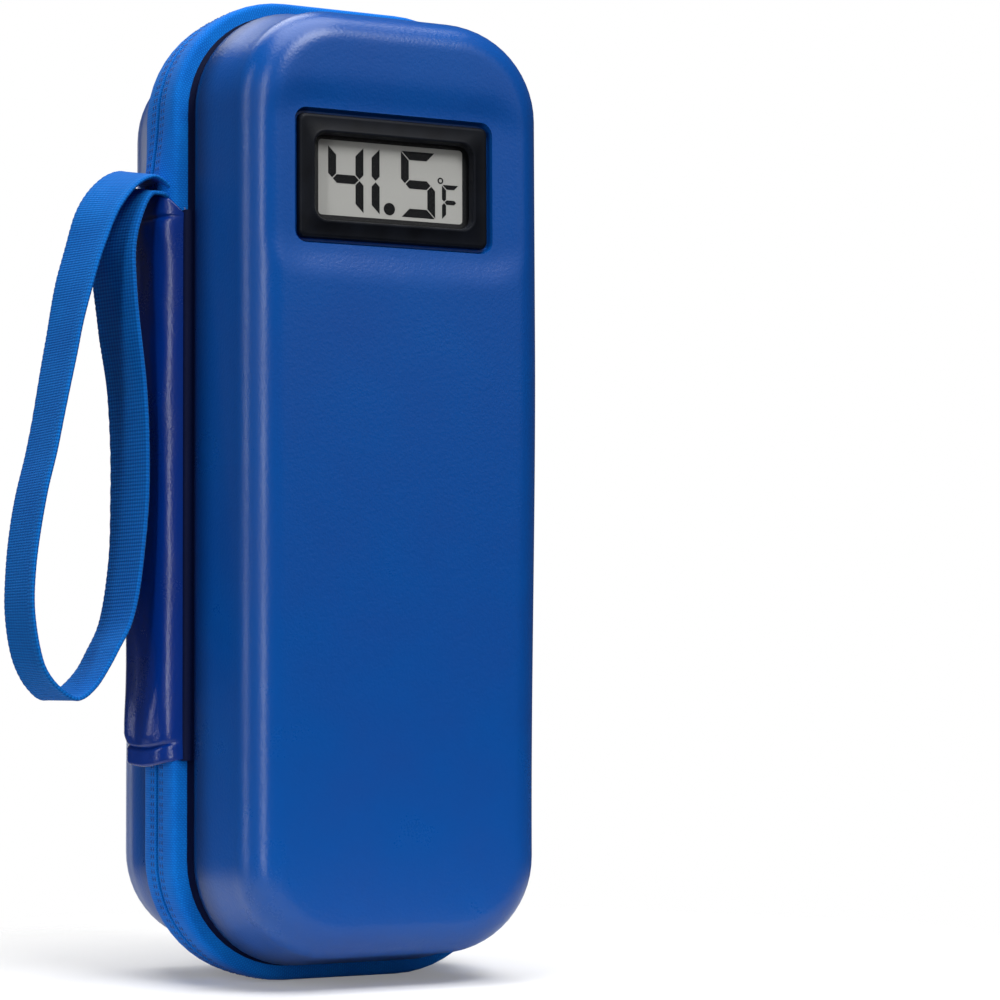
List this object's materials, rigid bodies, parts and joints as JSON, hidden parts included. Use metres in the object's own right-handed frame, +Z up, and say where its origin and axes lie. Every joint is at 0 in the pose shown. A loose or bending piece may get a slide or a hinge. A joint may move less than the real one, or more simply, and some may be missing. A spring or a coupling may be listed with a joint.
{
  "type": "insulin cooling case",
  "caption": "Upright zipped hard-shell cooling case with folding padded spine, insulated halves, gel packs, pen loops, built-in thermometer display, unit button and wrist strap.",
  "frame": {"origin": "bottom of the flat zipper band that the case stands on, in the middle of its width, at the zipper slit", "axes": "+Z up along the case's height, display looking along -Y, spine and strap on the -X side"},
  "size_m": [0.1308, 0.081, 0.232],
  "materials": {
    "shell_leather": "smooth blue leather cloth over moulded foam board",
    "spine_leather": "smooth blue leather cloth, padded and hemmed",
    "insulation_foam": "closed-cell foam",
    "lining_cloth": "coated silver-grey lining cloth",
    "zipper_tape": "woven polyester tape",
    "zipper_coil": "nylon coil",
    "strap_webbing": "woven webbing",
    "plated_metal": "nickel plated, satin",
    "black_plastic": "moulded black plastic",
    "button_plastic": "moulded grey plastic",
    "clear_plastic": "clear polished plastic",
    "lcd_glass": "grey reflective liquid crystal cell",
    "connector_rubber": "layered conductive rubber",
    "circuit_board": "green solder mask",
    "cell_steel": "bright steel can",
    "gel_plastic": "smooth blue film over set gel",
    "net_cloth": "black knitted net with bound edge",
    "elastic": "black woven elastic"
  },
  "bodies": {
    "base": {"back_shell": "shell_leather", "back_insulation": "insulation_foam", "back_liner": "lining_cloth", "zipper_tape_back": "zipper_tape", "zipper_coil_back": "zipper_coil", "pocket_panel": "lining_cloth", "gel_pack_back": "gel_plastic", "pen_loop_lower": "elastic", "pen_loop_upper": "elastic"},
    "spine": {"spine_panel": "spine_leather", "strap_root": "strap_webbing"},
    "lid": {"front_shell": "shell_leather", "front_insulation": "insulation_foam", "front_liner": "lining_cloth", "zipper_tape_front": "zipper_tape", "zipper_coil_front": "zipper_coil", "net_pocket": "net_cloth", "gel_pack_front": "gel_plastic", "thermometer_bezel": "black_plastic", "display_lens": "clear_plastic", "lcd_panel": "lcd_glass", "display_connector": "connector_rubber", "circuit_board": "circuit_board", "battery_contact_left": "plated_metal", "battery_contact_right": "plated_metal", "button_cell_left": "cell_steel", "button_cell_right": "cell_steel", "rear_cover": "black_plastic", "battery_door": "black_plastic", "button_switch": "plated_metal", "temperature_sensor": "black_plastic", "cover_screw_left": "plated_metal", "cover_screw_right": "plated_metal"},
    "unit_button": {"unit_button": "button_plastic"},
    "strap": {"wrist_strap": "strap_webbing"},
    "slider_upper": {"slider_upper": "plated_metal"},
    "slider_lower": {"slider_lower": "plated_metal"},
    "pull_upper": {"pull_tab_upper": "plated_metal"},
    "pull_lower": {"pull_tab_lower": "plated_metal"}
  },
  "joints": [
    {"name": "spine_fold", "type": "hinge", "parent": "base", "child": "spine", "pos_m": [-0.04, 0.011, 0.116], "axis": [0, 0, -1], "range_deg": [0, 90]},
    {"name": "lid_fold", "type": "hinge", "parent": "spine", "child": "lid", "pos_m": [-0.04, -0.011, 0.116], "axis": [0, 0, -1], "range_deg": [0, 90]},
    {"name": "unit_button_press", "type": "slide", "parent": "lid", "child": "unit_button", "axis": [0, -1, 0], "range_m": [0, 0.0008], "stiffness_N_per_m": 600},
    {"name": "strap_swing", "type": "hinge", "parent": "spine", "child": "strap", "pos_m": [-0.05593, -0.00265, 0.18588], "axis": [-0.2419, 0.9703, 0], "range_deg": [0, 150]},
    {"name": "slider_upper_run", "type": "slide", "parent": "base", "child": "slider_upper", "axis": [0, 0, 1], "range_m": [0, 0.07]},
    {"name": "slider_lower_run", "type": "slide", "parent": "base", "child": "slider_lower", "axis": [0, 0, -1], "range_m": [0, 0.07]},
    {"name": "pull_upper_swing", "type": "hinge", "parent": "slider_upper", "child": "pull_upper", "pos_m": [0.04655, 0, 0.1248], "axis": [0, -1, 0], "range_deg": [0, 170]},
    {"name": "pull_lower_swing", "type": "hinge", "parent": "slider_lower", "child": "pull_lower", "pos_m": [0.04655, 0, 0.1072], "axis": [0, -1, 0], "range_deg": [0, 150]}
  ],
  "couplings": [
    {"joint": "lid_fold", "follows": "spine_fold", "ratio": 1}
  ]
}
